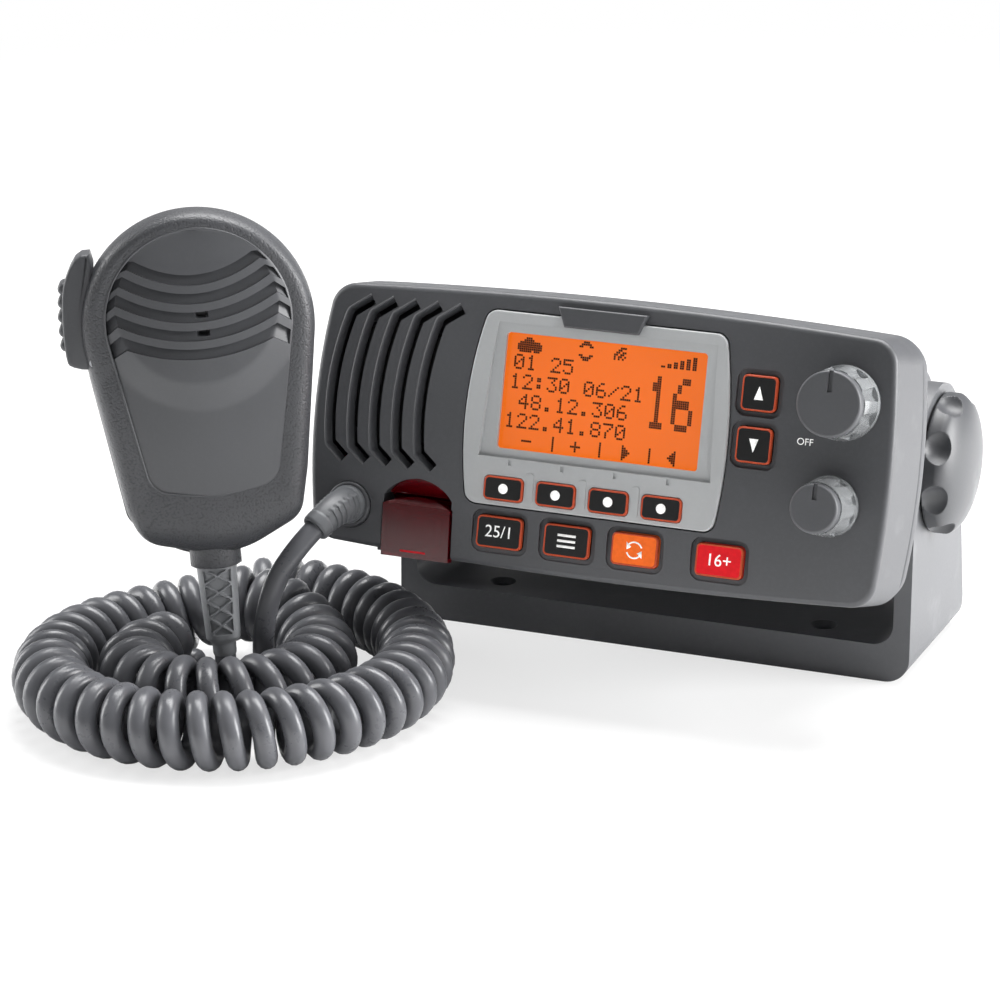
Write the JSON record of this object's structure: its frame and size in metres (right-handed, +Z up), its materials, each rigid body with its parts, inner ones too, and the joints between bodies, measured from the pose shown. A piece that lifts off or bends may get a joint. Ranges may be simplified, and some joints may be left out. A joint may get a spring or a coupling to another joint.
{
  "type": "vhf marine radio",
  "caption": "Fixed-mount marine radio head in a tilting gimbal bracket, with a fist microphone standing in its coiled curly cord.",
  "frame": {"origin": "centre of the bracket's four screw holes, on the underside it stands on", "axes": "+Z up, the face looks towards -Y, +X along the bracket to the viewer's right"},
  "size_m": [0.234, 0.245, 0.1344],
  "materials": {
    "case_plastic": "fine grained dark grey",
    "trim_plastic": "satin grey",
    "bracket_plastic": "satin dark grey",
    "black_plastic": "satin",
    "knob_plastic": "fine grained",
    "clear_skirt": "smoky clear",
    "key_black": "black with white marks and an orange rim",
    "key_orange": "orange",
    "key_red": "red",
    "cover_red": "dark red, half clear",
    "button_red": "red",
    "window_glass": "clear",
    "lcd_amber": "amber, backlit",
    "rubber_dark": "matte",
    "boot_rubber": "matte grey",
    "cord_grey": "glossy grey",
    "steel": "bright",
    "brass_part": "plain",
    "chrome_part": "bright",
    "aluminium_case": "black, cast",
    "board_green": "solder mask"
  },
  "bodies": {
    "bracket_and_microphone": {"bracket": "bracket_plastic", "mic_front_shell": "case_plastic", "mic_back_shell": "case_plastic", "mic_screws": "steel", "mic_hanger_stud": "chrome_part", "mic_circuit_board": "board_green", "mic_capsule": "chrome_part", "ptt_switch": "black_plastic", "ptt_pin": "steel", "mic_strain_relief": "boot_rubber", "mic_lead": "cord_grey", "curly_cord": "cord_grey", "radio_lead": "cord_grey"},
    "head": {"front_bezel": "case_plastic", "bezel_gasket": "rubber_dark", "rear_chassis": "aluminium_case", "case_screws": "steel", "display_trim": "trim_plastic", "display_tab": "black_plastic", "display_window": "window_glass", "lcd_module": "lcd_amber", "keypad_membrane": "rubber_dark", "front_circuit_board": "board_green", "main_circuit_board": "board_green", "speaker_driver": "steel", "speaker_membrane": "rubber_dark", "volume_encoder": "black_plastic", "squelch_encoder": "black_plastic", "antenna_socket": "chrome_part", "power_gland": "rubber_dark", "data_gland": "rubber_dark", "gimbal_inserts": "brass_part", "gimbal_washers": "rubber_dark", "distress_cover_pin": "steel", "distress_cover_spring": "steel", "mic_cord_socket": "boot_rubber", "radio_strain_relief": "boot_rubber"},
    "left_knob": {"left_gimbal_knob": "case_plastic", "left_gimbal_stud": "steel"},
    "right_knob": {"right_gimbal_knob": "case_plastic", "right_gimbal_stud": "steel"},
    "volume_control": {"volume_shaft": "steel", "volume_knob": "knob_plastic", "volume_knob_skirt": "clear_skirt"},
    "squelch_control": {"squelch_shaft": "steel", "squelch_knob": "knob_plastic", "squelch_knob_skirt": "clear_skirt"},
    "distress_cover": {"distress_cover": "cover_red"},
    "distress_button": {"distress_button": "button_red"},
    "push_to_talk": {"ptt_lever": "black_plastic"},
    "soft_key_1_cap": {"soft_key_1": "key_black"},
    "soft_key_2_cap": {"soft_key_2": "key_black"},
    "soft_key_3_cap": {"soft_key_3": "key_black"},
    "soft_key_4_cap": {"soft_key_4": "key_black"},
    "power_level_key_cap": {"power_level_key": "key_black"},
    "menu_key_cap": {"menu_key": "key_black"},
    "replay_key_cap": {"replay_key": "key_orange"},
    "channel_16_key_cap": {"channel_16_key": "key_red"},
    "channel_up_key_cap": {"channel_up_key": "key_black"},
    "channel_down_key_cap": {"channel_down_key": "key_black"}
  },
  "joints": [
    {"name": "head_tilt", "type": "hinge", "parent": "bracket_and_microphone", "child": "head", "pos_m": [0, -0.0045, 0.058], "axis": [-1, 0, 0], "range_deg": [-10, 7], "deforming": ["radio_lead"]},
    {"name": "left_knob_turn", "type": "hinge", "parent": "head", "child": "left_knob", "pos_m": [-0.08, -0.0045, 0.058], "axis": [-1, 0, 0], "continuous": true},
    {"name": "right_knob_turn", "type": "hinge", "parent": "head", "child": "right_knob", "pos_m": [0.08, -0.0045, 0.058], "axis": [1, 0, 0], "continuous": true},
    {"name": "volume_turn", "type": "hinge", "parent": "head", "child": "volume_control", "pos_m": [0.0677, -0.07303, 0.0928], "axis": [0, -0.969, 0.247], "range_deg": [-150, 150]},
    {"name": "squelch_turn", "type": "hinge", "parent": "head", "child": "squelch_control", "pos_m": [0.0666, -0.07974, 0.06645], "axis": [0, -0.969, 0.247], "range_deg": [-150, 150]},
    {"name": "distress_cover_open", "type": "hinge", "parent": "head", "child": "distress_cover", "pos_m": [-0.0493, -0.07458, 0.04986], "axis": [-1, 0, 0], "range_deg": [0, 100], "stiffness_Nm_per_rad": 0.004, "springref_deg": -20.05},
    {"name": "distress_button_press", "type": "slide", "parent": "head", "child": "distress_button", "axis": [0, 0.969, -0.247], "range_m": [0, 0.0008], "stiffness_N_per_m": 900, "springref_m": -0.0004},
    {"name": "push_to_talk_press", "type": "hinge", "parent": "bracket_and_microphone", "child": "push_to_talk", "pos_m": [-0.1261, -0.11554, 0.09519], "axis": [-0.4351, 0.8921, -0.1219], "range_deg": [0, 5.4], "stiffness_Nm_per_rad": 0.5, "springref_deg": -5.73},
    {"name": "soft_key_1_press", "type": "slide", "parent": "head", "child": "soft_key_1_cap", "axis": [0, 0.969, -0.247], "range_m": [0, 0.0008], "stiffness_N_per_m": 700, "springref_m": -0.0004},
    {"name": "soft_key_2_press", "type": "slide", "parent": "head", "child": "soft_key_2_cap", "axis": [0, 0.969, -0.247], "range_m": [0, 0.0008], "stiffness_N_per_m": 700, "springref_m": -0.0004},
    {"name": "soft_key_3_press", "type": "slide", "parent": "head", "child": "soft_key_3_cap", "axis": [0, 0.969, -0.247], "range_m": [0, 0.0008], "stiffness_N_per_m": 700, "springref_m": -0.0004},
    {"name": "soft_key_4_press", "type": "slide", "parent": "head", "child": "soft_key_4_cap", "axis": [0, 0.969, -0.247], "range_m": [0, 0.0008], "stiffness_N_per_m": 700, "springref_m": -0.0004},
    {"name": "power_level_key_press", "type": "slide", "parent": "head", "child": "power_level_key_cap", "axis": [0, 0.969, -0.247], "range_m": [0, 0.0008], "stiffness_N_per_m": 700, "springref_m": -0.0004},
    {"name": "menu_key_press", "type": "slide", "parent": "head", "child": "menu_key_cap", "axis": [0, 0.969, -0.247], "range_m": [0, 0.0008], "stiffness_N_per_m": 700, "springref_m": -0.0004},
    {"name": "replay_key_press", "type": "slide", "parent": "head", "child": "replay_key_cap", "axis": [0, 0.969, -0.247], "range_m": [0, 0.0008], "stiffness_N_per_m": 700, "springref_m": -0.0004},
    {"name": "channel_16_key_press", "type": "slide", "parent": "head", "child": "channel_16_key_cap", "axis": [0, 0.969, -0.247], "range_m": [0, 0.0008], "stiffness_N_per_m": 700, "springref_m": -0.0004},
    {"name": "channel_up_key_press", "type": "slide", "parent": "head", "child": "channel_up_key_cap", "axis": [0, 0.969, -0.247], "range_m": [0, 0.0008], "stiffness_N_per_m": 700, "springref_m": -0.0004},
    {"name": "channel_down_key_press", "type": "slide", "parent": "head", "child": "channel_down_key_cap", "axis": [0, 0.969, -0.247], "range_m": [0, 0.0008], "stiffness_N_per_m": 700, "springref_m": -0.0004}
  ]
}
